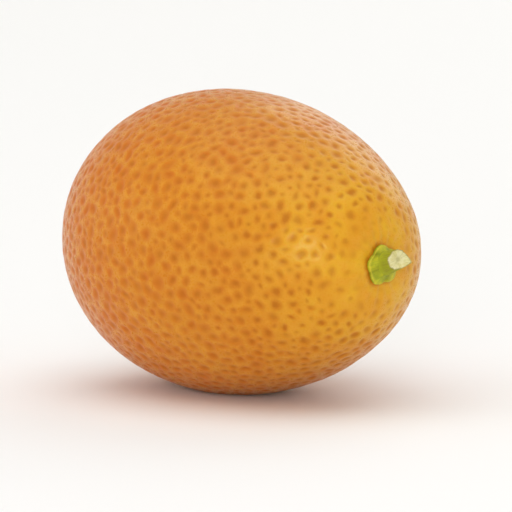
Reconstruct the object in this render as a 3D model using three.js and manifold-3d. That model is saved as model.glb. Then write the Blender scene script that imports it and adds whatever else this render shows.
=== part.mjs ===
// A kumquat as picked, lying on its side: the fruit, its green five-lobed calyx and its short stem stub.
// Millimetres, +Z up. The fruit's long axis lies along X with the stem end towards +X, and the origin is the
// middle of the underside, at the height of the small flat spot that the fruit rests on.
// Each piece is turned about the fruit's own axis, which is Y until the whole group is laid down.

import * as THREE from "three";
import { mergeVertices } from "three/addons/utils/BufferGeometryUtils.js";
import Module from "manifold-3d";

// Fruit: pole to pole, and across its widest place
const FRUIT_LENGTH = 41.4;
const FRUIT_DIAMETER = 30;
const STEM_TAPER = 0.112; // how much leaner the stem half is than the blossom half
const STEM_SHOULDER = 0.19; // how blunt the stem end is, and how late that sets in
const SHOULDER_POWER = 8;
const OVALNESS = 0.005; // the cross-section's two-lobed and three-lobed departures from a circle
const OVAL_TURN = -0.5;
const LOPSIDEDNESS = 0.002;
const LOPSIDED_TURN = 1.5;
const FLAT_DEPTH = 0.3; // how much of the underside the flat spot takes off

// Dips at the poles: the calyx's seat, and the scar of the style with its small nub
const SEAT_DIP = 0.25;
const SEAT_RADIUS = 2.6;
const SCAR_DIP = 0.32;
const SCAR_RADIUS = 1.3;
const NUB_HEIGHT = 0.24;
const NUB_RADIUS = 0.42;

// Calyx: five broad lobes that lie on the fruit and rise in a concave flare to a flat crown
const LOBES = 5;
const LOBE_TURN = 0.14;
const CALYX_RADIUS = 1.95;
const RIM_SHIFT = 0.09; // how far the rim reaches out on one side, as a share of its radius, and where
const RIM_SHIFT_TURN = 4.4;
const NOTCH_DEPTH = 0.13;
const CROWN_RADIUS = 1.15;
const CROWN_HEIGHT = 1.1;
const LOBE_THICKNESS = 0.3;
const FLARE_POWER = 1.7;

// Stem stub: leans up and ends in a slightly slanted cut, torn to a point on its far side
const STUB_BASE_RADIUS = 1.1;
const STUB_END_RADIUS = 0.95;
const STUB_HEIGHT = 1.15;
const CUT_SLOPE = 0.25;
const CUT_DOME = 0.1;
const TIP_HEIGHT = 1.0;
const TIP_TURN = -2.3;
const TIP_POWER = 4;
const STEM_LEAN = 0.32;

// Clearance between neighbouring pieces
const GAP = 0.12;

// Facets: steps round each piece, and rings along its profile
const FRUIT_AROUND = 60;
const FRUIT_ALONG = 48;
const CALYX_AROUND = 60;
const UNDERSIDE_RINGS = 6;
const FLARE_RINGS = 8;
const STUB_AROUND = 30;
const FOOT_RINGS = 2;
const SIDE_RINGS = 4;
const CUT_SHARES = [0.75, 0.4, 0]; // rings of the cut face, as shares of its radius

// Finishes
const RIND = { color: "#e0912f", roughness: 0.4 };
const CALYX_GREEN = { color: "#a8b038", roughness: 0.6 };
const CUT_STEM = { color: "#e2dab0", roughness: 0.75 };

// Precision of the outline's widest place, of a search on it, of welding and of comparing
const OUTLINE_SAMPLES = 400;
const HALVINGS = 50;
const WELD = 1e-4;
const TINY = 1e-6;

const FRUIT_RADIUS = FRUIT_DIAMETER / 2;
const wasm = await Module();
wasm.setup();

const mix = THREE.MathUtils.lerp;
const range = (count) => Array.from({ length: count + 1 }, (_, i) => i / count);

// Outline of the fruit without its dips, at a place from -1 at the blossom pole to 1 at the stem pole
function outline(place) {
  const lean = 1 - STEM_TAPER * place + STEM_SHOULDER * Math.max(place, 0) ** SHOULDER_POWER;
  return Math.sqrt(Math.max(1 - place * place, 0)) * lean;
}

const WIDEST = Math.max(...range(OUTLINE_SAMPLES).map((share) => outline(2 * share - 1)));

function seatDip(radius) {
  return SEAT_DIP * Math.exp(-((radius / SEAT_RADIUS) ** 2));
}

function scarDip(radius) {
  const hollow = SCAR_DIP * Math.exp(-((radius / SCAR_RADIUS) ** 2));
  return hollow - NUB_HEIGHT * Math.exp(-((radius / NUB_RADIUS) ** 2));
}

function fruitPoint(place) {
  const radius = (FRUIT_RADIUS * outline(place)) / WIDEST;
  const height = (FRUIT_LENGTH / 2) * place;
  return new THREE.Vector2(radius, place > 0 ? height - seatDip(radius) : height + scarDip(radius));
}

// Height of the fruit's skin near the stem pole, at a distance from the axis
function stemEndHeight(radius) {
  let [low, high] = [0.5, 1];
  for (let step = 0; step < HALVINGS; step++) {
    const middle = (low + high) / 2;
    if ((FRUIT_RADIUS * outline(middle)) / WIDEST > radius) low = middle;
    else high = middle;
  }
  return (FRUIT_LENGTH / 2) * low - seatDip(radius);
}

// A turned body whose every vertex is then moved by a rule
function turned(profile, around, rule) {
  const geometry = new THREE.LatheGeometry(profile, around);
  geometry.deleteAttribute("normal");
  geometry.deleteAttribute("uv");
  const position = geometry.getAttribute("position");
  const point = new THREE.Vector3();
  for (let i = 0; i < position.count; i++) {
    point.fromBufferAttribute(position, i);
    rule(point);
    position.setXYZ(i, point.x, point.y, point.z);
  }
  return mergeVertices(geometry, WELD);
}

function toSolid(geometry) {
  const merged = mergeVertices(geometry, WELD);
  return new wasm.Manifold(
    new wasm.Mesh({
      numProp: 3,
      vertProperties: new Float32Array(merged.getAttribute("position").array),
      triVerts: new Uint32Array(merged.index.array),
    }),
  );
}

function fromSolid(solid) {
  const mesh = solid.getMesh();
  return new THREE.BufferGeometry()
    .setAttribute("position", new THREE.BufferAttribute(mesh.vertProperties, 3))
    .setIndex(new THREE.BufferAttribute(mesh.triVerts, 1));
}

function plainBox(width, depth, height) {
  const box = new THREE.BoxGeometry(width, depth, height);
  box.deleteAttribute("normal");
  box.deleteAttribute("uv");
  return box;
}

// Fruit: a slightly uneven obovoid with a flat spot cut on its underside
function makeFruit() {
  const profile = range(FRUIT_ALONG).map((share) => fruitPoint(-Math.cos(Math.PI * share)));
  const body = turned(profile, FRUIT_AROUND, (point) => {
    const turn = Math.atan2(point.x, -point.z);
    const middle = 1 - (point.y / (FRUIT_LENGTH / 2)) ** 2;
    const lopsided = LOPSIDEDNESS * Math.cos(3 * turn + LOPSIDED_TURN);
    const oval = OVALNESS * Math.cos(2 * turn + OVAL_TURN);
    const scale = 1 + (lopsided - oval) * Math.max(middle, 0);
    point.x *= scale;
    point.z *= scale;
  });
  body.computeBoundingBox();
  const floor = body.boundingBox.min.z + FLAT_DEPTH;
  const below = plainBox(FRUIT_DIAMETER, FRUIT_LENGTH, FRUIT_RADIUS);
  below.translate(0, 0, floor - FRUIT_RADIUS / 2);
  return { geometry: fromSolid(toSolid(body).subtract(toSolid(below))), floor };
}

// Profiles of the calyx and the stub hold a share of the radius and a level, 0 on the underside and 1 on top
const CROWN_SHARE = CROWN_RADIUS / CALYX_RADIUS;
const CROWN_TOP = stemEndHeight(CROWN_RADIUS) + GAP + CROWN_HEIGHT;

function calyxThickness(share) {
  const rise = THREE.MathUtils.clamp((1 - share) / (1 - CROWN_SHARE), 0, 1) ** FLARE_POWER;
  return mix(LOBE_THICKNESS, CROWN_HEIGHT, rise);
}

function calyxReach(share, turn) {
  const lobe = Math.abs(Math.cos((LOBES / 2) * (turn - LOBE_TURN)));
  const uneven = 1 + RIM_SHIFT * Math.cos(turn - RIM_SHIFT_TURN);
  const rim = CALYX_RADIUS * uneven * (1 - NOTCH_DEPTH * (1 - lobe));
  return share * mix(CALYX_RADIUS, rim, THREE.MathUtils.smoothstep(share, CROWN_SHARE, 1));
}

function makeCalyx() {
  const underside = range(UNDERSIDE_RINGS).map((share) => new THREE.Vector2(share, 0));
  const flare = range(FLARE_RINGS).map((share) => new THREE.Vector2(mix(1, CROWN_SHARE, share), 1));
  const profile = [...underside, ...flare, new THREE.Vector2(0, 1)];
  return turned(profile, CALYX_AROUND, (point) => {
    const share = Math.hypot(point.x, point.z);
    const turn = Math.atan2(point.x, point.z);
    const level = point.y;
    const radius = calyxReach(share, turn);
    const skin = stemEndHeight(radius) + GAP;
    const onCrown = level === 1 && share <= CROWN_SHARE + TINY;
    const lift = level * (calyxThickness(share) - LOBE_THICKNESS);
    point.x = radius * Math.sin(turn);
    point.z = radius * Math.cos(turn) + STEM_LEAN * lift;
    point.y = onCrown ? CROWN_TOP : skin + level * calyxThickness(share);
  });
}

function makeStub() {
  const foot = range(FOOT_RINGS).map((share) => new THREE.Vector2(share, 0));
  const side = range(SIDE_RINGS).slice(1).map((level) => new THREE.Vector2(1, level));
  const cut = CUT_SHARES.map((share) => new THREE.Vector2(share, 1));
  return turned([...foot, ...side, ...cut], STUB_AROUND, (point) => {
    const share = Math.hypot(point.x, point.z);
    const turn = Math.atan2(point.x, point.z);
    const radius = share * mix(STUB_BASE_RADIUS, STUB_END_RADIUS, point.y);
    const across = radius * Math.sin(turn);
    const dome = CUT_DOME * (1 - share * share);
    const tip = TIP_HEIGHT * share ** 2 * Math.max(Math.cos(turn - TIP_TURN), 0) ** TIP_POWER;
    const rise = point.y * (STUB_HEIGHT - CUT_SLOPE * across + dome + tip);
    const lift = CROWN_HEIGHT - LOBE_THICKNESS + GAP + rise;
    point.x = across;
    point.y = CROWN_TOP + GAP + rise;
    point.z = radius * Math.cos(turn) + STEM_LEAN * lift;
  });
}

function piece(name, geometry, finish) {
  geometry.computeVertexNormals();
  const material = new THREE.MeshStandardMaterial({ ...finish, metalness: 0 });
  const mesh = new THREE.Mesh(geometry, material);
  mesh.name = name;
  return mesh;
}

const fruit = makeFruit();
const laid = new THREE.Group();
laid.add(
  piece("fruit", fruit.geometry, RIND),
  piece("calyx", makeCalyx(), CALYX_GREEN),
  piece("stem_stub", makeStub(), CUT_STEM),
);

// Lay the fruit's axis along X, set the flat spot at z = 0 and centre the whole over the origin
laid.rotation.z = -Math.PI / 2;
const extent = new THREE.Box3().setFromObject(laid);
const middle = extent.getCenter(new THREE.Vector3());
laid.position.set(-middle.x, -middle.y, -fruit.floor);

const kumquat = new THREE.Group();
kumquat.name = "kumquat";
kumquat.add(laid);

export default kumquat;
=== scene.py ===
"""A kumquat as picked, lying on a pale floor: dotted waxy rind, green calyx and the cut stub of its stem.

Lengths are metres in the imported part's frame. +X runs along the fruit to its stem end and +Z is up.
A turn is an angle about the fruit's axis, from straight up towards -Y.
"""

import logging
import math
import random
from dataclasses import dataclass, field
from enum import Enum
from functools import cached_property
from itertools import product
from typing import Sequence

import bmesh
import bpy
import numpy as np
from mathutils import Matrix, Vector, kdtree, noise


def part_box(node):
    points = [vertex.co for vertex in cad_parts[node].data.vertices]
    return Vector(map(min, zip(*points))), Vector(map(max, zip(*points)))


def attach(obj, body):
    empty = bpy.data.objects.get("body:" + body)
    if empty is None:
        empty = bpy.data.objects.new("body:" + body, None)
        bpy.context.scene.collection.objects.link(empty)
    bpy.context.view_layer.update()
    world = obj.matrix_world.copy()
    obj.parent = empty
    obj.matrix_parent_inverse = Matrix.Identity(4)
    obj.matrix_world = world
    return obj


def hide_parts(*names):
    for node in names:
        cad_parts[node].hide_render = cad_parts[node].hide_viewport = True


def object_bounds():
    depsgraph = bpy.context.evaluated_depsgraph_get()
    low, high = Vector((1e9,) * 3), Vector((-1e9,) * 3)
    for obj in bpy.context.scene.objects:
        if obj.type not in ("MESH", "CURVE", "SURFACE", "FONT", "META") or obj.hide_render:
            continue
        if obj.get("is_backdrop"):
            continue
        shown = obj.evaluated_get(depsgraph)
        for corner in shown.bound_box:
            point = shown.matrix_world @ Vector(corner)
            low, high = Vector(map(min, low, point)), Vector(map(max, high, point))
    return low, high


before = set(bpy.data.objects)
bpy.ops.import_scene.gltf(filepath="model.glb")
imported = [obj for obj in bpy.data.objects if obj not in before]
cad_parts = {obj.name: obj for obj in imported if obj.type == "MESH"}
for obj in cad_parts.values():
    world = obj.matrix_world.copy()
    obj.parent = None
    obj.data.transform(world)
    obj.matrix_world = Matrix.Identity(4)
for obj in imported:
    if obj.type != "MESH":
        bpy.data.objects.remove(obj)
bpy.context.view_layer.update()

LOG = logging.getLogger("kumquat")
MM = 0.001
FAR = 1.0  # stands for nowhere near
WELD = 1e-5  # a turned profile's points that are closer than this become one
TINY = 1e-6  # margin for comparing shares

Colour = tuple[float, float, float, float]
Span = tuple[float, float]
Ease = tuple[float, float, float, float]


# Numbers


def tint(code: str) -> Colour:
    """Turn a paint code into scene-linear colour.

    Args:
        code: Six hexadecimal digits of an sRGB colour.

    Returns:
        Red, green, blue and full opacity, scene-linear.
    """
    shares = [int(code[i:i + 2], 16) / 255 for i in (0, 2, 4)]
    linear = [s / 12.92 if s <= 0.04045 else ((s + 0.055) / 1.055) ** 2.4 for s in shares]
    return (*linear, 1.0)


def spread(low: float, high: float, count: int) -> list[float]:
    """Even steps from low to high, both ends in."""
    return [low + (high - low) * i / count for i in range(count + 1)]


def smooth_step(low: float, high: float, values: np.ndarray) -> np.ndarray:
    """Ease from 0 at low to 1 at high.

    Args:
        low: Value where the step starts.
        high: Value where the step ends, which may be the smaller one.
        values: Values to ease.

    Returns:
        The eased shares.
    """
    share = np.clip((values - low) / (high - low), 0.0, 1.0)
    return share * share * (3.0 - 2.0 * share)


def turns(points: np.ndarray) -> np.ndarray:
    """Turns of points about the fruit's axis."""
    return np.arctan2(-points[:, 1], points[:, 2])


def noise_at(points: np.ndarray, grain: float, shift: float) -> np.ndarray:
    """Sample smooth noise at points.

    Args:
        points: Places, one row each.
        grain: Distance over which the noise changes.
        shift: What keeps one use apart from another.

    Returns:
        One value a point, about -1 to 1.
    """
    away = Vector((shift, -shift, 2.0 * shift))
    return np.array([noise.noise(Vector(p) / grain + away) for p in points])


@dataclass(frozen=True)
class Unevenness:
    """Random swell of a surface: its height, the grain that it changes over and what sets it apart."""

    height: float
    grain: float
    shift: float

    def at(self, points: np.ndarray) -> np.ndarray:
        """Heights at points, one each."""
        return self.height * noise_at(points, self.grain, self.shift)


@dataclass(frozen=True)
class Wave:
    """Regular wave round the fruit's axis: its crests, its height and the angle that shifts it."""

    crests: int
    height: float
    shift: float

    def at(self, turn: np.ndarray) -> np.ndarray:
        """Heights at turns about the axis."""
        return self.height * np.cos(self.crests * turn + self.shift)


@dataclass(frozen=True)
class Folds:
    """Folds round the fruit's axis that stand closer in some places: how many, how high and how they sway."""

    count: int
    height: float
    sway: float
    sways: int

    def at(self, turn: np.ndarray) -> np.ndarray:
        """Heights at turns about the axis."""
        return self.height * np.cos(self.count * turn + self.sway * np.sin(self.sways * turn))


# Forms


@dataclass(frozen=True)
class FruitForm:
    """Obovoid of the fruit about its own axis, with the dips at its two poles."""

    length: float = 41.4 * MM
    diameter: float = 30.0 * MM
    taper: float = 0.112
    shoulder: float = 0.19
    shoulder_power: int = 8
    oval: Wave = Wave(2, 0.005, -0.5)
    lopsided: Wave = Wave(3, 0.002, 1.5)
    seat_dip: float = 0.25 * MM
    seat_radius: float = 2.6 * MM
    scar_dip: float = 0.32 * MM
    scar_radius: float = 1.3 * MM
    nub_height: float = 0.24 * MM
    nub_radius: float = 0.42 * MM
    outline_samples: int = 401
    stem_end_samples: int = 3001
    stem_end_start: float = 0.7

    def lean(self, place: np.ndarray) -> np.ndarray:
        """Say how full the outline is beside an ellipse.

        Args:
            place: Shares along the axis, -1 at the blossom pole and 1 at the stem pole.

        Returns:
            Factors on the ellipse's radius.
        """
        return 1 - self.taper * place + self.shoulder * np.maximum(place, 0) ** self.shoulder_power

    @cached_property
    def waist(self) -> float:
        """Radius of the ellipse that gives the widest place its diameter."""
        place = np.linspace(-1, 1, self.outline_samples)
        return self.diameter / 2 / float(np.max(np.sqrt(1 - place ** 2) * self.lean(place)))

    def seat(self, radius: np.ndarray) -> np.ndarray:
        """Depth of the calyx's seat at distances from the axis."""
        return self.seat_dip * np.exp(-((radius / self.seat_radius) ** 2))

    def scar(self, radius: np.ndarray) -> np.ndarray:
        """Depth of the style's scar, with its nub, at distances from the axis."""
        hollow = self.scar_dip * np.exp(-((radius / self.scar_radius) ** 2))
        return hollow - self.nub_height * np.exp(-((radius / self.nub_radius) ** 2))

    def skin(self, way: np.ndarray) -> np.ndarray:
        """Find the skin in directions from the middle of a unit ball.

        Args:
            way: Unit vectors, one row each.

        Returns:
            Points about the fruit's axis, one row each.
        """
        place = way[:, 0]
        from_below = np.arctan2(-way[:, 1], -way[:, 2])
        uneven = self.lopsided.at(from_below) - self.oval.at(from_below)
        reach = self.waist * self.lean(place) * (1 + uneven * (1 - place ** 2))
        across = way[:, 1:] * reach[:, None]
        radius = np.hypot(across[:, 0], across[:, 1])
        along = place * self.length / 2
        along = along + np.where(place > 0, -self.seat(radius), self.scar(radius))
        return np.column_stack([along, across])

    def stem_end(self, radius: np.ndarray) -> np.ndarray:
        """Find the height of the skin near the stem pole.

        Args:
            radius: Distances from the axis.

        Returns:
            Places along the axis.
        """
        place = np.linspace(1.0, self.stem_end_start, self.stem_end_samples)
        known = self.waist * self.lean(place) * np.sqrt(1 - place ** 2)
        return np.interp(radius, known, place * self.length / 2) - self.seat(radius)


@dataclass(frozen=True)
class StemForm:
    """Calyx and stem stub, which share a lean and stand on each other."""

    lobes: int = 5
    lobe_turn: float = 0.14
    lobe_thickness: float = 0.3 * MM
    calyx_radius: float = 1.95 * MM
    rim_waves: tuple[Wave, ...] = (Wave(1, 0.09, -4.4), Wave(2, 0.03, 1.1), Wave(3, 0.02, -0.4))
    notch_depth: float = 0.1625
    tooth_roundness: float = 0.45
    tooth_sharpness: float = 0.55
    crown_radius: float = 1.15 * MM
    crown_height: float = 1.1 * MM
    flare_power: float = 1.7
    stub_base_radius: float = 1.1 * MM
    stub_end_radius: float = 0.95 * MM
    stub_height: float = 1.45 * MM
    cut_slope: float = 0.25
    cut_dome: float = 0.1 * MM
    tip_height: float = 1.0 * MM
    tip_turn: float = -2.3
    tip_power: int = 4
    stem_lean: float = 0.32

    @property
    def crown_share(self) -> float:
        """Share of the calyx's radius that its crown takes."""
        return self.crown_radius / self.calyx_radius

    def lobe(self, turn: np.ndarray) -> np.ndarray:
        """Say how near turns are to the middle of a lobe, 0 in a notch and 1 in the middle."""
        return np.abs(np.cos(self.lobes / 2 * (turn - self.lobe_turn)))

    def rim(self, turn: np.ndarray) -> np.ndarray:
        """Find the calyx's edge.

        Args:
            turn: Turns about the axis.

        Returns:
            Distances of the edge from the axis.
        """
        uneven = sum((wave.at(turn) for wave in self.rim_waves), 1.0)
        round_tooth = self.lobe(turn)
        sharp_tooth = np.arccos(np.clip(1 - 2 * round_tooth ** 2, -1, 1)) / math.pi
        tooth = self.tooth_roundness * round_tooth + self.tooth_sharpness * sharp_tooth
        return self.calyx_radius * uneven * (1 - self.notch_depth * (1 - tooth))

    def thickness(self, share: np.ndarray) -> np.ndarray:
        """Thickness of the calyx at shares of its radius."""
        rise = np.clip((1 - share) / (1 - self.crown_share), 0, 1) ** self.flare_power
        return self.lobe_thickness + (self.crown_height - self.lobe_thickness) * rise

    def tip(self, share: np.ndarray, turn: np.ndarray) -> np.ndarray:
        """Height of the torn point on the stub's cut face, at shares of its radius and turns."""
        side = np.maximum(np.cos(turn - self.tip_turn), 0) ** self.tip_power
        return self.tip_height * share ** 2 * side


# Mesh helpers


class Axis(Enum):
    """Axes that bodies are turned about."""

    FRUIT = (1.0, 0.0, 0.0)
    UPRIGHT = (0.0, 0.0, 1.0)

    def point(self, radius: float, along: float) -> tuple[float, float, float]:
        """Place of a profile's point before it is turned."""
        return (along, 0.0, radius) if self is Axis.FRUIT else (radius, 0.0, along)


def new_piece(name: str, shape: bmesh.types.BMesh) -> bpy.types.Object:
    """Make a smooth-shaded object at the origin from a bmesh.

    Args:
        name: Name of the object and its mesh.
        shape: Finished shape, which is freed.

    Returns:
        The linked object.
    """
    mesh = bpy.data.meshes.new(name)
    shape.to_mesh(mesh)
    shape.free()
    mesh.polygons.foreach_set("use_smooth", [True] * len(mesh.polygons))
    piece = bpy.data.objects.new(name, mesh)
    bpy.context.scene.collection.objects.link(piece)
    return piece


def read_points(mesh: bpy.types.Mesh, what: str = "co") -> np.ndarray:
    """Read a vector of every vertex.

    Args:
        mesh: Mesh to read.
        what: Blender's name of the vector, "co" for places and "normal" for normals.

    Returns:
        The vectors, one row each.
    """
    flat = np.empty(len(mesh.vertices) * 3, np.float32)
    mesh.vertices.foreach_get(what, flat)
    return flat.reshape(-1, 3).astype(float)


def write_points(mesh: bpy.types.Mesh, points: np.ndarray) -> None:
    """Write a mesh's vertex places."""
    mesh.vertices.foreach_set("co", points.astype(np.float32).ravel())
    mesh.update()


def store(mesh: bpy.types.Mesh, name: str, values: np.ndarray) -> None:
    """Keep one value or vector a vertex for the finishes to read.

    Args:
        mesh: Mesh that gets the attribute.
        name: Name of the attribute.
        values: One number or one row of three a vertex.
    """
    vector = values.ndim == 2
    attribute = mesh.attributes.new(name, "FLOAT_VECTOR" if vector else "FLOAT", "POINT")
    attribute.data.foreach_set("vector" if vector else "value", values.astype(np.float32).ravel())


def ball_of_quads(cuts: int) -> bmesh.types.BMesh:
    """Blow a finely cut cube up to a unit ball with even faces.

    Args:
        cuts: Cuts across each side of the cube.

    Returns:
        The ball.
    """
    shape = bmesh.new()
    bmesh.ops.create_cube(shape, size=2.0)
    bmesh.ops.subdivide_edges(shape, edges=shape.edges[:], cuts=cuts, use_grid_fill=True)
    for vertex in shape.verts:
        even = Vector(math.tan(math.pi / 4 * c) for c in vertex.co)
        vertex.co = even.normalized()
    return shape


def turned(profile: Sequence[tuple[float, float]], axis: Axis, steps: int) -> bmesh.types.BMesh:
    """Spin a profile about an axis.

    Args:
        profile: Pairs of distance from the axis and place along it.
        axis: Axis to spin about.
        steps: Steps round the axis.

    Returns:
        The turned shape.
    """
    shape = bmesh.new()
    line = [shape.verts.new(axis.point(radius, along)) for radius, along in profile]
    edges = [shape.edges.new(pair) for pair in zip(line, line[1:])]
    bmesh.ops.spin(
        shape,
        geom=line + edges,
        cent=(0, 0, 0),
        axis=axis.value,
        angle=2 * math.pi,
        steps=steps,
        use_merge=True,
    )
    bmesh.ops.remove_doubles(shape, verts=shape.verts[:], dist=WELD)
    bmesh.ops.recalc_face_normals(shape, faces=shape.faces[:])
    return shape


# Node helpers


Feed = bpy.types.NodeSocket | float | Colour | tuple[float, float, float]


class Arithmetic(Enum):
    """Sums that the finishes use."""

    ADD = "ADD"
    MULTIPLY = "MULTIPLY"


class Socket(Enum):
    """Kinds of input that effects have."""

    VECTOR = "NodeSocketVector"
    VALUE = "NodeSocketFloat"


@dataclass(frozen=True)
class MixSockets:
    """Numbers of a mix node's sockets that mix colours, since their names are used more than once."""

    share: int = 0
    first: int = 6
    second: int = 7
    result: int = 2


COLOUR_MIX = MixSockets()


class Graph:
    """Short calls for the nodes that finishes and effects are made of."""

    def __init__(self, tree: bpy.types.NodeTree) -> None:
        """Work on a node tree."""
        self.tree = tree

    def add(
        self, kind: str, feeds: dict[str | int, Feed] | None = None, **settings: object
    ) -> bpy.types.Node:
        """Add a node, set it up and feed its inputs.

        Args:
            kind: Blender's name of the node type.
            feeds: Input names or numbers, each with a socket or a plain value.
            settings: Properties of the node.

        Returns:
            The node.
        """
        node = self.tree.nodes.new(kind)
        for key, value in settings.items():
            setattr(node, key, value)
        for key, feed in (feeds or {}).items():
            self.feed(node.inputs[key], feed)
        return node

    def feed(self, target: bpy.types.NodeSocket, source: Feed) -> None:
        """Link a socket to an input, or set the input's value.

        Args:
            target: Input to feed.
            source: Socket or plain value.
        """
        if isinstance(source, bpy.types.NodeSocket):
            self.tree.links.new(source, target)
        else:
            target.default_value = source

    def mix(self, share: Feed, first: Feed, second: Feed) -> bpy.types.NodeSocket:
        """Lay the second colour over the first by a share."""
        feeds = {COLOUR_MIX.share: share, COLOUR_MIX.first: first, COLOUR_MIX.second: second}
        return self.add("ShaderNodeMix", feeds, data_type="RGBA").outputs[COLOUR_MIX.result]

    def sum(self, way: Arithmetic, first: Feed, second: Feed) -> bpy.types.NodeSocket:
        """Work out two values."""
        return self.add("ShaderNodeMath", {0: first, 1: second}, operation=way.value).outputs[0]

    def plus(self, first: Feed, second: Feed) -> bpy.types.NodeSocket:
        """Add two values."""
        return self.sum(Arithmetic.ADD, first, second)

    def times(self, first: Feed, second: Feed) -> bpy.types.NodeSocket:
        """Multiply two values."""
        return self.sum(Arithmetic.MULTIPLY, first, second)

    def noise(self, vector: Feed, scale: Feed, detail: float, rough: float) -> bpy.types.NodeSocket:
        """Sample noise.

        Args:
            vector: Places to sample at.
            scale: Cycles a unit of the places.
            detail: Octaves of finer noise.
            rough: How strong each finer octave is beside the one before.

        Returns:
            Values from 0 to 1.
        """
        feeds = {"Vector": vector, "Scale": scale, "Detail": detail, "Roughness": rough}
        return self.add("ShaderNodeTexNoise", feeds, noise_dimensions="3D").outputs[0]

    def ease(self, value: Feed, span: Ease) -> bpy.types.NodeSocket:
        """Ease a value from one level to another.

        Args:
            value: Value to ease.
            span: Where it starts and ends, and the levels that it has there.

        Returns:
            The eased level.
        """
        low, high, start, end = span
        feeds = {"Value": value, "From Min": low, "From Max": high, "To Min": start, "To Max": end}
        return self.add("ShaderNodeMapRange", feeds, interpolation_type="SMOOTHSTEP").outputs[0]

    def ramp(self, share: Feed, stops: Sequence[tuple[float, Colour]]) -> bpy.types.NodeSocket:
        """Run through colours along a share.

        Args:
            share: Value from 0 to 1.
            stops: Places along it, in order, with their colours.

        Returns:
            The colour.
        """
        node = self.add("ShaderNodeValToRGB", {0: share})
        points = node.color_ramp.elements
        while len(points) < len(stops):
            points.new(0.5)
        for point, (place, colour) in zip(points, stops):
            point.position = place
            point.color = colour
        node.color_ramp.interpolation = "EASE"
        return node.outputs[0]

    def read(self, name: str) -> bpy.types.NodeSocket:
        """Read a value kept on the mesh."""
        return self.add("ShaderNodeAttribute", attribute_name=name).outputs["Fac"]

    def read_vector(self, name: str) -> bpy.types.NodeSocket:
        """Read a vector kept on the mesh."""
        return self.add("ShaderNodeAttribute", attribute_name=name).outputs["Vector"]

    def place(self) -> bpy.types.NodeSocket:
        """Places on the object, in metres."""
        return self.add("ShaderNodeTexCoord").outputs["Object"]

    def bump(self, height: Feed, depth: float) -> bpy.types.NodeSocket:
        """Turn heights from 0 to 1, where 1 is a depth in metres, into a bumped normal."""
        return self.add("ShaderNodeBump", {"Height": height, "Distance": depth, "Strength": 1.0}).outputs[0]


class Effect:
    """A shader node group in the making: its calls, what it is given and what it makes."""

    def __init__(self, name: str, inputs: dict[str, Socket], outputs: Sequence[str]) -> None:
        """Start the group.

        Args:
            name: Name of the group.
            inputs: Names of the inputs, each with its kind.
            outputs: Names of the value outputs.
        """
        self.tree = bpy.data.node_groups.new(name, "ShaderNodeTree")
        for label, kind in inputs.items():
            self.tree.interface.new_socket(label, in_out="INPUT", socket_type=kind.value)
        for label in outputs:
            self.tree.interface.new_socket(label, in_out="OUTPUT", socket_type=Socket.VALUE.value)
        self.graph = Graph(self.tree)
        self.given = self.graph.add("NodeGroupInput").outputs
        self.made = self.graph.add("NodeGroupOutput").inputs


@dataclass(frozen=True)
class Mottle:
    """Scales of a living skin's patches, grain and flecks, in cycles a metre."""

    patch: float
    grain: float
    fleck: float


@dataclass(frozen=True)
class Fibres:
    """Streaks of a stem's fibres: how many stand round it, and how much they change along it."""

    count: float
    run: float


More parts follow.
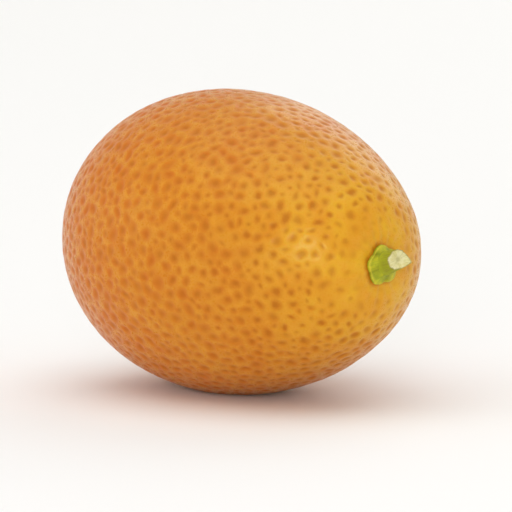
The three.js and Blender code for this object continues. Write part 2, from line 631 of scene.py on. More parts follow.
class Effects:
    """The node groups that more than one finish uses, built once."""

    patch_span: Ease = (0.32, 0.68, 0.0, 1.0)
    fleck_span: Ease = (0.72, 0.8, 0.0, 1.0)
    streak_span: Ease = (0.3, 0.7, 0.0, 1.0)
    hairline_scale: float = 3.1

    def __init__(self) -> None:
        """Build the groups."""
        self.mottle = self._build_mottle()
        self.fibres = self._build_fibres()

    def _build_mottle(self) -> bpy.types.NodeTree:
        """Build the soft patches, fine grain and sparse flecks of living skin.

        Returns:
            The group.
        """
        scales = ("Patch Scale", "Grain Scale", "Fleck Scale")
        inputs = {"Vector": Socket.VECTOR} | {label: Socket.VALUE for label in scales}
        effect = Effect("living_mottle", inputs, ("Patches", "Grain", "Flecks"))
        graph, given, made = effect.graph, effect.given, effect.made
        patches = graph.noise(given["Vector"], given["Patch Scale"], detail=3.0, rough=0.55)
        grain = graph.noise(given["Vector"], given["Grain Scale"], detail=2.0, rough=0.6)
        flecks = graph.noise(given["Vector"], given["Fleck Scale"], detail=1.0, rough=0.4)
        graph.feed(made["Patches"], graph.ease(patches, self.patch_span))
        graph.feed(made["Grain"], grain)
        graph.feed(made["Flecks"], graph.ease(flecks, self.fleck_span))
        return effect.tree

    def _build_fibres(self) -> bpy.types.NodeTree:
        """Build the streaks that run along a stem's fibres.

        Returns:
            The group.
        """
        inputs = {"Way": Socket.VECTOR, "Count": Socket.VALUE, "Run": Socket.VALUE}
        effect = Effect("stem_fibres", inputs, ("Streaks", "Hairlines"))
        graph, given, made = effect.graph, effect.given, effect.made
        sides = {"X": given["Count"], "Y": given["Count"], "Z": given["Run"]}
        stretch = graph.add("ShaderNodeCombineXYZ", sides).outputs[0]
        feeds = {0: given["Way"], 1: stretch}
        way = graph.add("ShaderNodeVectorMath", feeds, operation=Arithmetic.MULTIPLY.value).outputs[0]
        streaks = graph.noise(way, 1.0, detail=2.0, rough=0.5)
        graph.feed(made["Streaks"], graph.ease(streaks, self.streak_span))
        graph.feed(made["Hairlines"], graph.noise(way, self.hairline_scale, detail=2.0, rough=0.6))
        return effect.tree

    def lay_mottle(self, graph: Graph, scales: Mottle) -> bpy.types.Node:
        """Lay the mottle over a finish.

        Args:
            graph: Calls on the finish's nodes.
            scales: Scales of the mottle.

        Returns:
            The group's node.
        """
        feeds = {
            "Vector": graph.place(),
            "Patch Scale": scales.patch,
            "Grain Scale": scales.grain,
            "Fleck Scale": scales.fleck,
        }
        return graph.add("ShaderNodeGroup", feeds, node_tree=self.mottle)

    def lay_fibres(self, graph: Graph, fibres: Fibres) -> bpy.types.Node:
        """Lay fibres along a finish, in the ways that are kept on the mesh.

        Args:
            graph: Calls on the finish's nodes.
            fibres: How the fibres stand.

        Returns:
            The group's node.
        """
        feeds = {"Way": graph.read_vector("fibre_way"), "Count": fibres.count, "Run": fibres.run}
        return graph.add("ShaderNodeGroup", feeds, node_tree=self.fibres)


# Finishes


Constants = tuple[tuple[str, Feed], ...]


def new_material(name: str, constants: Constants = ()) -> tuple[bpy.types.Material, Graph, bpy.types.Node]:
    """Start a finish.

    Args:
        name: Name of the material.
        constants: Names of the shader's inputs that don't vary, each with its value.

    Returns:
        The material, calls on its nodes and its Principled shader.
    """
    material = bpy.data.materials.new(name)
    material.use_nodes = True
    shader = next(n for n in material.node_tree.nodes if n.type == "BSDF_PRINCIPLED")
    for label, value in constants:
        shader.inputs[label].default_value = value
    return material, Graph(material.node_tree), shader


@dataclass(frozen=True)
class RindFinish:
    """Waxy orange rind with sunken oil glands, yellower towards the stem.

    Edges of glands are in shares of a gland's radius, and reaches from the scar and the calyx in millimetres.
    """

    blossom_tone: Colour = tint("ca700c")
    middle_tone: Colour = tint("cb8122")
    stem_tone: Colour = tint("dda927")
    tone_stops: tuple[float, float, float] = (0.2, 0.56, 0.97)
    patch_tone: Colour = tint("c5650f")
    patch_share: float = 0.36
    mottle: Mottle = Mottle(patch=320.0, grain=5200.0, fleck=800.0)
    grain_middle: float = 0.5
    edge_wobble: float = 0.55
    net_tone: Colour = tint("da992e")
    net_edge: Ease = (0.9, 1.8, 0.0, 1.0)
    cloud_scale: float = 950.0
    cloud_span: Ease = (0.32, 0.68, 0.12, 0.55)
    red_gland: Colour = tint("c45709")
    ochre_gland: Colour = tint("b8650d")
    gland_edge: Ease = (1.4, 0.3, 0.0, 1.0)
    core_tone: Colour = tint("9d560b")
    core_edge: Ease = (0.85, 0.15, 0.0, 1.0)
    core_share: Ease = (0.0, 1.0, 0.35, 0.55)
    # Painted shade round the calyx's edge, where the lifted lobes shadow the rind, with some brownish tint of
    # the rind there.
    calyx_shadow_tone: Colour = tint("b8650e")
    calyx_shadow_reach: Ease = (0.45, 0.02, 0.0, 0.6)
    scar_wobble: float = 0.3
    halo_tone: Colour = tint("cc8a38")
    halo_reach: Ease = (2.1, 0.8, 0.0, 0.4)
    ring_tone: Colour = tint("9a4d16")
    ring_reach: Ease = (1.0, 0.6, 0.0, 0.7)
    nub_tone: Colour = tint("bd7d38")
    nub_reach: Ease = (0.55, 0.3, 0.0, 0.8)
    sheen: Ease = (0.2, 0.8, 0.25, 0.33)
    gland_dullness: float = 0.55
    bump_depth: float = 0.018 * MM
    constants: Constants = (
        ("IOR", 1.39),
        ("Specular IOR Level", 0.45),
        ("Specular Tint", (0.55, 1.0, 0.38, 1.0)),
        ("Coat Weight", 0.06),
        ("Coat Roughness", 0.19),
        ("Subsurface Weight", 0.45),
        ("Subsurface Radius", (1.0, 0.3, 0.1)),
        ("Subsurface Scale", 0.8 * MM),
    )

    def build(self, effects: Effects) -> bpy.types.Material:
        """Make the material.

        Args:
            effects: Shared node groups.

        Returns:
            The material.
        """
        material, graph, shader = new_material("waxy_rind", self.constants)
        mottle = effects.lay_mottle(graph, self.mottle)
        grain = mottle.outputs["Grain"]
        wobble = graph.times(graph.plus(grain, -self.grain_middle), self.edge_wobble)
        colour = self._ground(graph, mottle.outputs["Patches"])
        colour, dot = self._glands(graph, colour, wobble)
        colour = self._poles(graph, colour, wobble)
        rough = graph.plus(graph.ease(grain, self.sheen), graph.times(dot, self.gland_dullness))
        graph.feed(shader.inputs["Base Color"], colour)
        graph.feed(shader.inputs["Roughness"], rough)
        graph.feed(shader.inputs["Normal"], graph.bump(grain, self.bump_depth))
        return material

    def _ground(self, graph: Graph, patches: Feed) -> bpy.types.NodeSocket:
        """Colour the rind between the glands, from the blossom end to the stem, with painted light that makes
        it yellower on top and redder underneath.

        Args:
            graph: Calls on the material's nodes.
            patches: Where the rind is redder.

        Returns:
            The colour.
        """
        tones = (self.blossom_tone, self.middle_tone, self.stem_tone)
        colour = graph.ramp(graph.read("yellowing_and_painted_light"), list(zip(self.tone_stops, tones)))
        return graph.mix(graph.times(patches, self.patch_share), colour, self.patch_tone)

    def _glands(
        self, graph: Graph, colour: Feed, wobble: Feed
    ) -> tuple[bpy.types.NodeSocket, bpy.types.NodeSocket]:
        """Lay the pale net and the glands that stand in it over the rind.

        Args:
            graph: Calls on the material's nodes.
            colour: Colour so far.
            wobble: Unevenness of the glands' edges.

        Returns:
            The colour, and how much of a point is gland.
        """
        edge = graph.plus(graph.read("gland_edge"), wobble)
        strength, hue = graph.read("gland_tone"), graph.read("gland_hue")
        clouds = graph.noise(graph.place(), self.cloud_scale, detail=2.0, rough=0.55)
        net = graph.times(graph.ease(edge, self.net_edge), graph.ease(clouds, self.cloud_span))
        colour = graph.mix(net, colour, self.net_tone)
        dot = graph.times(graph.ease(edge, self.gland_edge), strength)
        colour = graph.mix(dot, colour, graph.mix(hue, self.red_gland, self.ochre_gland))
        core = graph.times(graph.ease(edge, self.core_edge), strength)
        core = graph.times(core, graph.ease(hue, self.core_share))
        return graph.mix(core, colour, self.core_tone), dot

    def _poles(self, graph: Graph, colour: Feed, wobble: Feed) -> bpy.types.NodeSocket:
        """Paint shade and a brownish tint on the rind round the calyx's edge, and colour the scar of the
        style.

        Args:
            graph: Calls on the material's nodes.
            colour: Colour so far.
            wobble: Unevenness of the scar's edges.

        Returns:
            The colour.
        """
        # Painted shade: the rind darkens towards the calyx's edge, partly its own brownish ring.
        colour = graph.mix(graph.ease(graph.read("calyx_gap"), self.calyx_shadow_reach), colour, self.calyx_shadow_tone)
        reach = graph.plus(graph.read("scar_reach"), graph.times(wobble, self.scar_wobble))
        colour = graph.mix(graph.ease(reach, self.halo_reach), colour, self.halo_tone)
        colour = graph.mix(graph.ease(reach, self.ring_reach), colour, self.ring_tone)
        return graph.mix(graph.ease(reach, self.nub_reach), colour, self.nub_tone)


@dataclass(frozen=True)
class CalyxFinish:
    """Fresh green calyx with pale margins and darker furrows."""

    green: Colour = tint("969e0e")
    bright_green: Colour = tint("c4be1c")
    furrow: Colour = tint("747e0c")
    streak_share: float = 0.45
    furrow_share: float = 0.7
    margin: Colour = tint("d2bf30")
    margin_grain: float = 0.12
    margin_span: Ease = (0.86, 1.08, 0.0, 0.85)
    fleck: Colour = tint("6b5a1e")
    fleck_share: float = 0.6
    mottle: Mottle = Mottle(patch=1500.0, grain=14000.0, fleck=5200.0)
    fibres: Fibres = Fibres(count=7.0, run=1.3)
    sheen: Ease = (0.2, 0.8, 0.46, 0.64)
    bump_depth: float = 0.03 * MM
    constants: Constants = (
        ("Specular IOR Level", 0.3),
        ("Subsurface Weight", 0.15),
        ("Subsurface Radius", (0.6, 1.0, 0.2)),
        ("Subsurface Scale", 0.4 * MM),
    )

    def build(self, effects: Effects) -> bpy.types.Material:
        """Make the material.

        Args:
            effects: Shared node groups.

        Returns:
            The material.
        """
        material, graph, shader = new_material("calyx_green", self.constants)
        mottle = effects.lay_mottle(graph, self.mottle)
        fibres = effects.lay_fibres(graph, self.fibres)
        grain = mottle.outputs["Grain"]

        colour = graph.mix(mottle.outputs["Patches"], self.green, self.bright_green)
        colour = graph.mix(graph.times(fibres.outputs["Streaks"], self.streak_share), colour, self.furrow)
        colour = graph.mix(graph.times(graph.read("furrow"), self.furrow_share), colour, self.furrow)
        pale = graph.plus(graph.read("margin"), graph.times(grain, self.margin_grain))
        colour = graph.mix(graph.ease(pale, self.margin_span), colour, self.margin)
        colour = graph.mix(graph.times(mottle.outputs["Flecks"], self.fleck_share), colour, self.fleck)

        height = graph.plus(fibres.outputs["Hairlines"], grain)
        graph.feed(shader.inputs["Base Color"], colour)
        graph.feed(shader.inputs["Roughness"], graph.ease(grain, self.sheen))
        graph.feed(shader.inputs["Normal"], graph.bump(height, self.bump_depth))
        return material


@dataclass(frozen=True)
class StemFinish:
    """Green-barked stem with a torn cream face, olive at its rim."""

    bark: Colour = tint("9ba012")
    young: Colour = tint("a0a412")
    olive: Colour = tint("857f15")
    olive_share: float = 0.6
    cream: Colour = tint("cfc683")
    pale: Colour = tint("e0daa5")
    pith: Colour = tint("b3ab6b")
    pith_streaks: Ease = (0.55, 1.0, 0.0, 0.35)
    pith_reach: Ease = (0.42, 0.2, 0.0, 0.6)
    rim: Colour = tint("85762f")
    rim_reach: Ease = (0.98, 1.1, 0.0, 0.8)
    reach_grain: float = 0.2
    speck: Colour = tint("7d7354")
    speck_share: float = 0.5
    mottle: Mottle = Mottle(patch=1700.0, grain=12000.0, fleck=3600.0)
    fibres: Fibres = Fibres(count=6.0, run=1.1)
    sheen: Ease = (0.2, 0.8, 0.6, 0.8)
    bump_depth: float = 0.05 * MM
    constants: Constants = (
        ("Specular IOR Level", 0.35),
        ("Subsurface Weight", 0.2),
        ("Subsurface Radius", (1.0, 0.9, 0.6)),
        ("Subsurface Scale", 0.3 * MM),
    )

    def build(self, effects: Effects) -> bpy.types.Material:
        """Make the material.

        Args:
            effects: Shared node groups.

        Returns:
            The material.
        """
        material, graph, shader = new_material("cut_stem", self.constants)
        mottle = effects.lay_mottle(graph, self.mottle)
        fibres = effects.lay_fibres(graph, self.fibres)
        grain, streaks = mottle.outputs["Grain"], fibres.outputs["Streaks"]

        bark = graph.mix(graph.times(streaks, self.olive_share), self.bark, self.olive)
        bark = graph.mix(graph.read("foot"), bark, self.young)
        face = graph.mix(mottle.outputs["Patches"], self.cream, self.pale)
        face = graph.mix(graph.ease(streaks, self.pith_streaks), face, self.pith)
        reach = graph.plus(graph.read("cut_share"), graph.times(grain, self.reach_grain))
        face = graph.mix(graph.ease(reach, self.pith_reach), face, self.pith)
        face = graph.mix(graph.times(mottle.outputs["Flecks"], self.speck_share), face, self.speck)
        face = graph.mix(graph.ease(reach, self.rim_reach), face, self.rim)

        height = graph.plus(fibres.outputs["Hairlines"], grain)
        graph.feed(shader.inputs["Base Color"], graph.mix(graph.read("cut_face"), bark, face))
        graph.feed(shader.inputs["Roughness"], graph.ease(grain, self.sheen))
        graph.feed(shader.inputs["Normal"], graph.bump(height, self.bump_depth))
        return material


@dataclass(frozen=True)
class FloorFinish:
    """Pale matt floor with a barely uneven sheen."""

    tone: Colour = tint("f6f5f2")
    cloud_scale: float = 6.0
    sheen: Ease = (0.3, 0.7, 0.7, 0.8)

    def build(self) -> bpy.types.Material:
        """Make the material.

        Returns:
            The material.
        """
        material, graph, shader = new_material("pale_floor", (("Base Color", self.tone),))
        clouds = graph.noise(graph.place(), self.cloud_scale, detail=2.0, rough=0.5)
        graph.feed(shader.inputs["Roughness"], graph.ease(clouds, self.sheen))
        return material


# Oil glands


@dataclass(frozen=True)
class Gland:
    """One oil gland: its middle, the way that it is stretched and how it looks."""

    spot: Vector
    way: Vector
    radius: float
    tone: float
    hue: float
    aspect: float


@dataclass(frozen=True)
class GlandMap:
    """What points of the skin have from their nearest gland: share of its radius, tone, hue and radius."""

    edge: np.ndarray
    tone: np.ndarray
    hue: np.ndarray
    radius: np.ndarray


@dataclass
class GlandField:
    """Oil glands strewn over the rind: large ones first, then small ones in the room that is left.

    A hue runs from 0, red, to 1, ochre. Both zones are distances from the stem pole: glands come out over the
    quiet zone, and turn redder and fainter over the red zone.
    """

    large_radius: Span = (0.38 * MM, 0.6 * MM)
    large_spacing: Span = (1.08 * MM, 1.9 * MM)
    large_tone: Span = (0.4, 0.7)
    large_hue: Span = (0.05, 0.8)
    small_radius: Span = (0.27 * MM, 0.39 * MM)
    small_spacing: float = 0.86 * MM
    small_tone: Span = (0.3, 0.52)
    small_hue: Span = (0.5, 1.0)
    clearance: float = 0.473 * MM
    stretch: Span = (1.0, 1.9)
    warp: float = 0.16 * MM
    warp_grain: float = 0.75 * MM
    warp_shifts: tuple[float, float, float] = (1.3, 6.1, 11.9)
    quiet_zone: Span = (2.5 * MM, 7.0 * MM)
    quiet_tone: float = 0.2
    quiet_size: float = 0.75
    red_zone: Span = (9.0 * MM, 26.0 * MM)
    red_fade: float = 0.22
    least_red: float = 0.25
    neighbours: int = 3
    seed: int = 20817
    glands: list[Gland] = field(default_factory=list)

    def sow(self, points: np.ndarray, stem_distance: np.ndarray) -> None:
        """Strew the glands.

        Args:
            points: Places on the skin that may hold one.
            stem_distance: Their distances from the stem pole.
        """
        draw = random.Random(self.seed)
        order = list(range(len(points)))
        draw.shuffle(order)
        around = list(product((-1, 0, 1), repeat=3))
        taken: dict[tuple[int, ...], list[tuple[Vector, float]]] = {}
        cell = self.large_spacing[1]
        for large in (True, False):
            for index in order:
                spot = Vector(points[index])
                room = draw.uniform(*self.large_spacing) if large else self.small_spacing
                x, y, z = (math.floor(c / cell) for c in spot)
                near = [item for i, j, k in around for item in taken.get((x + i, y + j, z + k), ())]
                if any((spot - other).length < (room if large else max(room, wide)) for other, wide in near):
                    continue
                radius = draw.uniform(*(self.large_radius if large else self.small_radius))
                taken.setdefault((x, y, z), []).append((spot, radius + self.clearance))
                self.glands.append(self._grow(draw, spot, radius, large, stem_distance[index]))

    def _grow(self, draw: random.Random, spot: Vector, radius: float, large: bool, stem: float) -> Gland:
        """Draw the looks of one gland.

        Args:
            draw: Source of random draws.
            spot: Middle of the gland.
            radius: Its full radius.
            large: Whether it is one of the large glands.
            stem: Its distance from the stem pole.

        Returns:
            The gland.
        """
        awake = float(smooth_step(*self.quiet_zone, np.array(stem)))
        red = float(smooth_step(*self.red_zone, np.array(stem)))
        tone = draw.uniform(*(self.large_tone if large else self.small_tone))
        tone *= (self.quiet_tone + (1 - self.quiet_tone) * awake) * (1 - self.red_fade * red)
        hue = draw.uniform(*(self.large_hue if large else self.small_hue))
        hue = 1 - (1 - hue) * (self.least_red + (1 - self.least_red) * red)
        aspect = draw.uniform(*self.stretch)
        way = Vector((draw.gauss(0, 1), draw.gauss(0, 1), draw.gauss(0, 1))).normalized()
        size = self.quiet_size + (1 - self.quiet_size) * awake
        return Gland(spot, way, radius * size, tone, hue, aspect)

    def measure(self, points: np.ndarray) -> GlandMap:
        """Find each point's place in its gland.

        Args:
            points: Places on the skin.

        Returns:
            What the points have from their glands.
        """
        tree = kdtree.KDTree(len(self.glands))
        for index, gland in enumerate(self.glands):
            tree.insert(gland.spot, index)
        tree.balance()
        near = np.array([[hit[1] for hit in tree.find_n(Vector(p), self.neighbours)] for p in points])
        centres = np.array([gland.spot for gland in self.glands])[near]
        ways = np.array([gland.way for gland in self.glands])[near]
        radius, aspect, tone, hue = (
            np.array([getattr(gland, fact) for gland in self.glands])[near]
            for fact in ("radius", "aspect", "tone", "hue")
        )
        bend = np.column_stack([noise_at(points, self.warp_grain, shift) for shift in self.warp_shifts])
        offset = (points + self.warp * bend)[:, None, :] - centres
        along = np.einsum("ijk,ijk->ij", offset, ways)
        across = np.maximum(np.einsum("ijk,ijk->ij", offset, offset) - along ** 2, 0.0)
        share = np.sqrt(along ** 2 / aspect + across * aspect) / radius
        best = np.arange(len(points)), np.argmin(share, axis=1)
        return GlandMap(share[best], tone[best], hue[best], radius[best])


# Sub-assemblies


class SubAssembly:
    """A part of the kumquat, which models its pieces and dresses them."""

    @staticmethod
    def dress(piece: bpy.types.Object, finish: bpy.types.Material, node: str, slot: str) -> None:
        """Give a piece its finish and its place in the frame.

        Args:
            piece: Modelled piece.
            finish: Its material.
            node: CAD node that it stands for.
            slot: Material slot in the record; not used.
        """
        piece.data.materials.append(finish)
        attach(piece, "root")
        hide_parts(node)


@dataclass
class Fruit(SubAssembly):
    """The fruit: a fine skin with sunken glands, seat, scar and flat spot.

    Edges of pits and pillows are in shares of a gland's radius. The zones are distances from the poles, from
    where something starts to where it is in full.
    """

    form: FruitForm
    stem: StemForm
    cuts: int = 127
    pit_depth: float = 0.1 * MM
    pit_edge: Span = (1.25, 0.25)
    pit_radius: float = 0.45 * MM
    pit_range: Span = (0.5, 1.1)
    pale_pit: float = 0.35
    pillow: float = 0.012 * MM
    pillow_edge: Span = (1.0, 1.9)
    swell: Unevenness = Unevenness(0.05 * MM, 5.5 * MM, 3.7)
    ripple: Unevenness = Unevenness(0.024 * MM, 1.4 * MM, 8.1)
    calm_zone: Span = (1.5 * MM, 4.0 * MM)
    seat_folds: Folds = Folds(17, 0.045 * MM, 1.5, 2)
    seat_zone: Span = (6.0 * MM, 2.2 * MM)
    scar_folds: Folds = Folds(9, 0.08 * MM, 1.0, 3)
    scar_zone: Span = (3.2 * MM, 1.0 * MM)
    nub_zone: Span = (0.2 * MM, 0.7 * MM)
    groove_depth: float = 0.1 * MM
    groove_radius: float = 0.78 * MM
    groove_width: float = 0.26 * MM
    # Painted light: tilts the rind's tone yellower towards the top and redder towards the bottom, as light
    # from above and a warm glow from below would.
    painted_light_tilt: float = 0.04
    most_edge: float = 2.5
    most_reach: float = 4.0 * MM
    home: np.ndarray = field(init=False)

    def build(self, effects: Effects) -> bpy.types.Object:
        """Model the fruit, find the place of its axis and dress it.

        Args:
            effects: Shared node groups.

        Returns:
            The piece.
        """
        piece = new_piece("fruit_rind", ball_of_quads(self.cuts))
        mesh = piece.data
        way = read_points(mesh)
        skin = self.form.skin(way)
        self.home = self.lie(skin)
        write_points(mesh, skin)
        normal = read_points(mesh, "normal")
        stem_pole = np.array([self.form.length / 2, 0.0, 0.0])
        stem_distance = np.linalg.norm(skin - stem_pole, axis=1)
        scar_distance = np.linalg.norm(skin + stem_pole, axis=1)

        strewn = GlandField()
        strewn.sow(skin, stem_distance)
        LOG.info("%d oil glands", len(strewn.glands))
        glands = strewn.measure(skin)
        rise = self.relief(skin, glands, stem_distance, scar_distance)
        points = skin + normal * rise[:, None] + self.home
        points[:, 2] = np.maximum(points[:, 2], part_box("fruit")[0].z)
        write_points(mesh, points)

        gap = np.hypot(skin[:, 1], skin[:, 2]) - self.stem.rim(turns(skin))
        store(mesh, "gland_edge", np.minimum(glands.edge, self.most_edge))
        store(mesh, "gland_tone", glands.tone)
        store(mesh, "gland_hue", glands.hue)
        # The rind's own tone is yellower towards the stem; the tilt added to that is painted light from
        # above.
        store(mesh, "yellowing_and_painted_light", 1 - stem_distance / self.form.length + self.painted_light_tilt * way[:, 2])
        store(mesh, "calyx_gap", np.where(way[:, 0] > 0, gap, FAR) / MM)
        store(mesh, "scar_reach", np.minimum(scar_distance, self.most_reach) / MM)
        self.dress(piece, RindFinish().build(effects), "fruit", "rind")
        return piece

    def lie(self, skin: np.ndarray) -> np.ndarray:
        """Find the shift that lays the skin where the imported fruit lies.

        Args:
            skin: Points about the fruit's own axis.

        Returns:
            The shift of that axis.
        """
        low, high = (np.array(corner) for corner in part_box("fruit"))
        top, bottom = skin.max(axis=0), skin.min(axis=0)
        across = (low[1] + high[1] - top[1] - bottom[1]) / 2
        return np.array([high[0] - top[0], across, high[2] - top[2]])

    def relief(
        self, skin: np.ndarray, glands: GlandMap, stem_distance: np.ndarray, scar_distance: np.ndarray
    ) -> np.ndarray:
        """Work out how far the skin stands off its plain form.

        Args:
            skin: Points of the plain form.
            glands: What the points have from their glands.
            stem_distance: Distances from the stem pole.
            scar_distance: Distances from the blossom pole.

        Returns:
            Heights along the normals.
        """
        strong = self.pale_pit + (1 - self.pale_pit) * glands.tone
        depth = self.pit_depth * strong * np.clip(glands.radius / self.pit_radius, *self.pit_range)
        pits = -depth * smooth_step(*self.pit_edge, glands.edge)
        pillows = self.pillow * smooth_step(*self.pillow_edge, glands.edge)
        calm = smooth_step(*self.calm_zone, np.minimum(stem_distance, scar_distance))
        uneven = (self.swell.at(skin) + self.ripple.at(skin)) * calm
        turn = turns(skin)
        folds = self.seat_folds.at(turn) * smooth_step(*self.seat_zone, stem_distance)
        near_scar = smooth_step(*self.scar_zone, scar_distance) * smooth_step(*self.nub_zone, scar_distance)
        puckers = self.scar_folds.at(turn) * near_scar
        ring = (scar_distance - self.groove_radius) / self.groove_width
        groove = -self.groove_depth * np.exp(-ring ** 2)
        return pits + pillows + uneven + folds + puckers + groove


@dataclass
class StemEnd(SubAssembly):
    """The calyx and the stem stub that stands on it.

    Each is turned from a profile of shares of its radius and of levels, 0 on the underside and 1 on top, and
    then bent to its form. The zones are in shares or levels, from where something starts to where it is full.
    """

    fruit: FruitForm
    stem: StemForm
    home: np.ndarray
    rest_gap: float = 0.03 * MM
    top_level: float = 0.99

    calyx_steps: int = 200
    underside_rings: int = 10
    margin_rings: int = 8
    flare_rings: int = 22
    crown_rings: int = 5
    margin_share: float = 0.95
    flare_share: float = 0.94
    margin_lift: float = 0.1 * MM
    margin_power: int = 6
    notch_lift: float = 0.4
    curl: float = 1.1
    curl_wave: Wave = Wave(2, 0.6, 0.7)
    rib: float = 0.07 * MM
    rib_power: int = 6
    rib_zone: Span = (1.0, 0.75)
    furrow: float = 0.12 * MM
    furrow_power: int = 2
    furrow_zone: Span = (1.0, 0.8)
    furrow_tone_power: float = 1.3
    lump: Unevenness = Unevenness(0.06 * MM, 1 / 4.2, 5.3)
    plain_share: float = 0.2

    stub_steps: int = 120
    foot_rings: int = 3
    side_rings: int = 14
    face_rings: int = 18
    side_top: float = 0.97
    face_share: float = 0.985
    ridges: Folds = Folds(9, 0.025 * MM, 1.2, 2)
    foot_flare: float = 0.09 * MM
    foot_power: int = 3
    foot_sink: float = 0.09 * MM
    tear: Unevenness = Unevenness(0.08 * MM, 1 / 3.2, 9.4)
    fray: Unevenness = Unevenness(0.07 * MM, 1 / 8.5, 2.6)
    fray_power: int = 3
    torn_zone: Span = (0.9, 1.0)
    young_zone: Span = (0.5, 0.05)
    face_zone: Span = (0.97, 0.995)

    @property
    def crown_top(self) -> float:
        """Place of the calyx's crown along the fruit's axis."""
        seat = float(self.fruit.stem_end(np.array(self.stem.crown_radius)))
        return seat + self.rest_gap + self.stem.crown_height

    def build(self, effects: Effects) -> list[bpy.types.Object]:
        """Model the calyx and the stub, and dress them.

        Args:
            effects: Shared node groups.

        Returns:
            The two pieces.
        """
        calyx = self.build_calyx()
        self.dress(calyx, CalyxFinish().build(effects), "calyx", "calyx_green")
        stub = self.build_stub()
        self.dress(stub, StemFinish().build(effects), "stem_stub", "cut_stem")
        return [calyx, stub]

    def calyx_profile(self) -> list[tuple[float, float]]:
        """Draw half a section of the calyx: underside, rounded margin, flare and crown.

        Returns:
            Pairs of a share of the radius and a level.
        """
        crown_share, start = self.stem.crown_share, self.margin_share
        underside = [(share, 0.0) for share in spread(0.0, start, self.underside_rings)]
        margin = [
            (start + (1 - start) * math.cos(angle), 0.5 + 0.5 * math.sin(angle))
            for angle in spread(-math.pi / 2, math.pi / 2, self.margin_rings)[1:]
        ]
        flare = [(share, 1.0) for share in spread(self.flare_share, crown_share, self.flare_rings)]
        crown = [(share, 1.0) for share in spread(crown_share, 0.0, self.crown_rings)[1:]]
        return [*underside, *margin, *flare, *crown]

    def build_calyx(self) -> bpy.types.Object:
        """Model the calyx.

        Returns:
            The piece.
        """
        form = self.stem
        piece = new_piece("calyx_lobes", turned(self.calyx_profile(), Axis.FRUIT, self.calyx_steps))
        mesh = piece.data
        unit = read_points(mesh)
        level, share, turn = unit[:, 0], np.hypot(unit[:, 1], unit[:, 2]), turns(unit)
        lobe = form.lobe(turn)
        outer = smooth_step(form.crown_share, 1.0, share)
        radius = share * (form.calyx_radius + (form.rim(turn) - form.calyx_radius) * outer)

        curl = (self.notch_lift + (1 - self.notch_lift) * lobe) * (self.curl + self.curl_wave.at(turn))
        lift = self.rest_gap + self.margin_lift * share ** self.margin_power * curl
        ribs = self.rib * lobe ** self.rib_power * smooth_step(*self.rib_zone, share)
        furrows = self.furrow * (1 - lobe) ** self.furrow_power * smooth_step(*self.furrow_zone, share)
        on_top = level * smooth_step(self.plain_share, form.crown_share, share)
        rise = form.thickness(share) * level + on_top * (ribs - furrows + self.lump.at(unit))
        along = self.fruit.stem_end(radius) + lift + rise
        on_crown = (level > self.top_level) & (share <= form.crown_share + TINY)
        along = np.where(on_crown, np.minimum(along, self.crown_top), along)
        lean = form.stem_lean * level * (form.thickness(share) - form.lobe_thickness)
        points = np.column_stack([along, -radius * np.sin(turn), radius * np.cos(turn) + lean])
        write_points(mesh, points + self.home)

        store(mesh, "margin", share * level)
        store(mesh, "furrow", (1 - lobe) ** self.furrow_tone_power * level)
        store(mesh, "fibre_way", np.column_stack([np.cos(turn), np.sin(turn), share]))
        return piece

    def stub_profile(self) -> list[tuple[float, float]]:
        """Draw half a section of the stub: foot, side and cut face.

        Returns:
            Pairs of a share of the radius and a level.
        """
        foot = [(share, 0.0) for share in spread(0.0, 1.0, self.foot_rings)]
        side = [(1.0, level) for level in spread(0.0, self.side_top, self.side_rings)[1:]]
        face = [(share, 1.0) for share in spread(self.face_share, 0.0, self.face_rings)]
        return [*foot, *side, *face]

    def build_stub(self) -> bpy.types.Object:
        """Model the stem stub.

        Returns:
            The piece.
        """
        form = self.stem
        piece = new_piece("stem_cut", turned(self.stub_profile(), Axis.FRUIT, self.stub_steps))
        mesh = piece.data
        unit = read_points(mesh)
        level, share, turn = unit[:, 0], np.hypot(unit[:, 1], unit[:, 2]), turns(unit)
        body = form.stub_base_radius + (form.stub_end_radius - form.stub_base_radius) * level
        body = body + self.foot_flare * (1 - level) ** self.foot_power
        radius = share * (body + self.ridges.at(turn) * level * share)
        across = radius * np.sin(turn)

        flat = unit * np.array([0.0, 1.0, 1.0])
        torn = self.tear.at(flat) + self.fray.at(flat) * share ** self.fray_power
        torn = torn * smooth_step(*self.torn_zone, level)
        dome = form.cut_dome * (1 - share ** 2)
        rise = level * (form.stub_height - form.cut_slope * across + dome + form.tip(share, turn)) + torn
        along = self.crown_top - self.foot_sink + rise
        lean = form.stem_lean * (form.crown_height - form.lobe_thickness + rise)
        points = np.column_stack([along, -across, radius * np.cos(turn) + lean])
        write_points(mesh, points + self.home)

        store(mesh, "foot", smooth_step(*self.young_zone, level))
        store(mesh, "cut_face", smooth_step(*self.face_zone, level))
        store(mesh, "cut_share", share)
        store(mesh, "fibre_way", np.column_stack([np.cos(turn), np.sin(turn), level]))
        return piece


# Studio


def looking_at(middle: Vector, azimuth: float, elevation: float, distance: float) -> Matrix:
    """Stand a light or a camera off from a place that it looks at.

    Args:
        middle: What it looks at.
        azimuth: Degrees, 0 on the -Y side and 90 on the +X side.
        elevation: Degrees above the horizon.
        distance: How far off it stands.

    Returns:
        Its world matrix.
    """
    a, e = math.radians(azimuth), math.radians(elevation)
    way = Vector((math.sin(a) * math.cos(e), -math.cos(a) * math.cos(e), math.sin(e)))
    return Matrix.Translation(middle + way * distance) @ way.to_track_quat("Z", "Y").to_matrix().to_4x4()


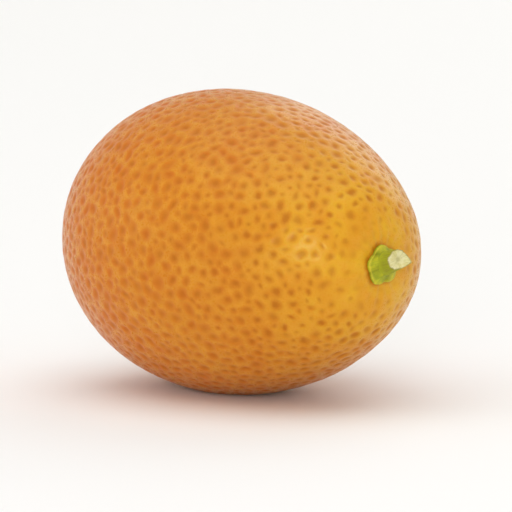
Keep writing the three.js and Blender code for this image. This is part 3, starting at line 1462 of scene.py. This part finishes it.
@dataclass(frozen=True)
class Softbox:
    """One soft area light."""

    name: str
    azimuth: float
    elevation: float
    distance: float
    width: float
    height: float
    power: float
    tone: tuple[float, float, float] = (1.0, 1.0, 1.0)

    def hang(self, middle: Vector) -> None:
        """Hang the light.

        Args:
            middle: What it looks at.
        """
        lamp = bpy.data.lights.new(self.name, "AREA")
        lamp.shape = "RECTANGLE"
        lamp.size = self.width
        lamp.size_y = self.height
        lamp.energy = self.power
        lamp.color = self.tone
        holder = bpy.data.objects.new(self.name, lamp)
        holder.visible_camera = False
        holder.matrix_world = looking_at(middle, self.azimuth, self.elevation, self.distance)
        bpy.context.scene.collection.objects.link(holder)


@dataclass
class Studio:
    """Pale floor that sweeps up all round, soft lights and the camera."""

    floor_flat: float = 0.95
    floor_sweep: float = 0.45
    floor_steps: int = 96
    flat_rings: int = 6
    sweep_rings: int = 16
    azimuth: float = 51.4
    elevation: float = 7.2
    distance: float = 0.45
    lens: float = 325.0
    aim_drop: float = 1.2 * MM
    sky: Colour = (1.0, 1.0, 1.0, 1.0)
    sky_strength: float = 0.6
    lights: tuple[Softbox, ...] = (
        Softbox(
            "key_light",
            azimuth=47.0,
            elevation=14.0,
            distance=0.8,
            width=0.21,
            height=0.21,
            power=1.5,
            tone=(0.93, 0.89, 1.0),
        ),
        Softbox("low_fill", azimuth=42.0, elevation=3.6, distance=0.9, width=1.2, height=0.1, power=0.6),
        Softbox("top_light", azimuth=20.0, elevation=78.0, distance=1.25, width=1.5, height=1.5, power=7.4),
        Softbox("left_fill", azimuth=318.0, elevation=16.0, distance=1.1, width=0.8, height=0.5, power=0.6),
        Softbox("back_fill", azimuth=205.0, elevation=34.0, distance=1.1, width=0.8, height=0.8, power=2.0),
    )

    def build(self, middle: Vector) -> None:
        """Set up the floor, the lights and the camera.

        Args:
            middle: Middle of the fruit.
        """
        self.build_floor()
        for light in self.lights:
            light.hang(middle)
        self.build_sky()
        self.build_camera(middle)

    def build_floor(self) -> None:
        """Model the floor and mark it as stage."""
        flat = [(radius, 0.0) for radius in spread(0.0, self.floor_flat, self.flat_rings)]
        sweep = [
            (self.floor_flat + self.floor_sweep * math.sin(a), self.floor_sweep * (1 - math.cos(a)))
            for a in spread(0.0, math.pi / 2, self.sweep_rings)[1:]
        ]
        floor = new_piece("floor", turned([*flat, *sweep], Axis.UPRIGHT, self.floor_steps))
        floor.data.materials.append(FloorFinish().build())
        floor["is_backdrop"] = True

    def build_sky(self) -> None:
        """Light the room evenly, and show colours as they are."""
        world = bpy.data.worlds.new("white_room")
        world.use_nodes = True
        background = world.node_tree.nodes["Background"]
        background.inputs["Color"].default_value = self.sky
        background.inputs["Strength"].default_value = self.sky_strength
        bpy.context.scene.world = world
        bpy.context.scene.view_settings.view_transform = "Standard"

    def build_camera(self, middle: Vector) -> None:
        """Set up the camera.

        Args:
            middle: Middle of the fruit.
        """
        data = bpy.data.cameras.new("camera")
        data.lens = self.lens
        camera = bpy.data.objects.new("camera", data)
        aim = middle - Vector((0.0, 0.0, self.aim_drop))
        camera.matrix_world = looking_at(aim, self.azimuth, self.elevation, self.distance)
        bpy.context.scene.collection.objects.link(camera)
        bpy.context.scene.camera = camera


def main() -> None:
    """Build the kumquat, its studio and the camera."""
    logging.basicConfig(level=logging.INFO, format="%(name)s: %(message)s")
    effects = Effects()
    fruit = Fruit(FruitForm(), StemForm())
    pieces = [fruit.build(effects)]
    pieces += StemEnd(fruit.form, fruit.stem, fruit.home).build(effects)
    for piece in pieces:
        LOG.info("%s: %d faces", piece.name, len(piece.data.polygons))
    low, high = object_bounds()
    Studio().build((low + high) / 2)


if __name__ == "__main__":
    main()
